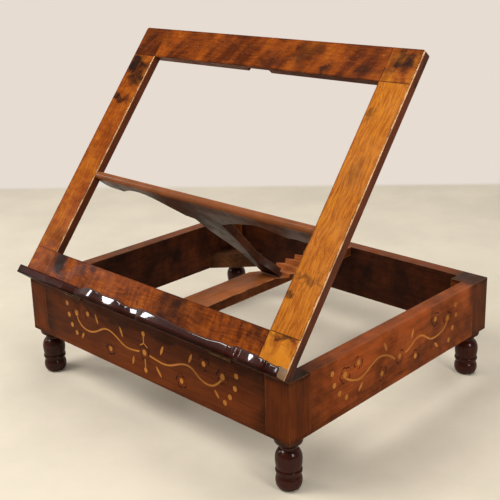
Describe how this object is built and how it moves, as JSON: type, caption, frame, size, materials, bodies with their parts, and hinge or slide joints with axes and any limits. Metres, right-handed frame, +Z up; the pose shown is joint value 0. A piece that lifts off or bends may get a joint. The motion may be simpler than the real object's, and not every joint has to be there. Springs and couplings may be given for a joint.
{
  "type": "reading stand",
  "caption": "Table-top reading stand: a shallow footed box base, a hinged frame with a book ledge, and a shaped prop board that folds into the frame and stands on a toothed bar.",
  "frame": {"origin": "on the floor under the middle of the base", "axes": "+X to the right seen from the reader's side, +Y to the back, +Z up; the book ledge faces -Y"},
  "size_m": [0.522, 0.4626, 0.5017],
  "materials": {
    "base_walnut": "waxed red-brown walnut, satin, darker at the edges",
    "post_walnut": "waxed dark walnut with an upright grain",
    "dark_turned": "turned wood, almost black, glossy",
    "inner_walnut": "plain walnut, matt",
    "bar_walnut": "orange-brown walnut, satin",
    "inlay_wood": "light yellow inlay wood, satin",
    "frame_core": "dark walnut with worn, lighter arrises",
    "figured_veneer": "golden figured walnut with dark mottling, polished",
    "ledge_walnut": "dark red-brown walnut, high gloss",
    "prop_walnut": "brown walnut, satin",
    "hinge_brass": "aged brass, dull",
    "screw_brass": "aged brass, dull",
    "pivot_steel": "plain steel wire"
  },
  "bodies": {
    "base": {"front_rail": "base_walnut", "back_rail": "base_walnut", "left_rail": "base_walnut", "right_rail": "base_walnut", "front_left_post": "post_walnut", "front_left_foot": "dark_turned", "front_left_block": "inner_walnut", "front_right_post": "post_walnut", "front_right_foot": "dark_turned", "front_right_block": "inner_walnut", "back_left_post": "post_walnut", "back_left_foot": "dark_turned", "back_left_block": "inner_walnut", "back_right_post": "post_walnut", "back_right_foot": "dark_turned", "back_right_block": "inner_walnut", "toothed_bar": "bar_walnut", "front_inlay_vine": "inlay_wood", "front_inlay_dots": "inlay_wood", "front_inlay_leaves": "inlay_wood", "left_inlay_vine": "inlay_wood", "left_inlay_dots": "inlay_wood", "left_inlay_leaves": "inlay_wood", "right_inlay_vine": "inlay_wood", "right_inlay_dots": "inlay_wood", "right_inlay_leaves": "inlay_wood", "left_base_hinge_leaf": "hinge_brass", "left_hinge_pin": "hinge_brass", "right_base_hinge_leaf": "hinge_brass", "right_hinge_pin": "hinge_brass", "base_hinge_screws": "screw_brass"},
    "reading_frame": {"left_stile": "frame_core", "right_stile": "frame_core", "top_rail": "frame_core", "bottom_rail": "frame_core", "left_stile_veneer": "figured_veneer", "right_stile_veneer": "figured_veneer", "top_rail_veneer": "figured_veneer", "bottom_rail_veneer": "figured_veneer", "top_left_corner_veneer": "figured_veneer", "top_right_corner_veneer": "figured_veneer", "bottom_left_corner_veneer": "figured_veneer", "bottom_right_corner_veneer": "figured_veneer", "book_ledge": "ledge_walnut", "left_frame_hinge_leaf": "hinge_brass", "right_frame_hinge_leaf": "hinge_brass", "frame_hinge_screws": "screw_brass", "left_prop_pivot_pin": "pivot_steel", "right_prop_pivot_pin": "pivot_steel"},
    "prop": {"prop_board": "prop_walnut"}
  },
  "joints": [
    {"name": "frame_tilt", "type": "hinge", "parent": "base", "child": "reading_frame", "pos_m": [0, -0.2205, 0.1508], "axis": [1, 0, 0], "range_deg": [-51.85, 0]},
    {"name": "prop_swing", "type": "hinge", "parent": "reading_frame", "child": "prop", "pos_m": [0, -0.11427, 0.29689], "axis": [1, 0, 0], "range_deg": [0, 96]}
  ],
  "couplings": [
    {"joint": "prop_swing", "follows": "frame_tilt", "ratio": -1.8516}
  ]
}
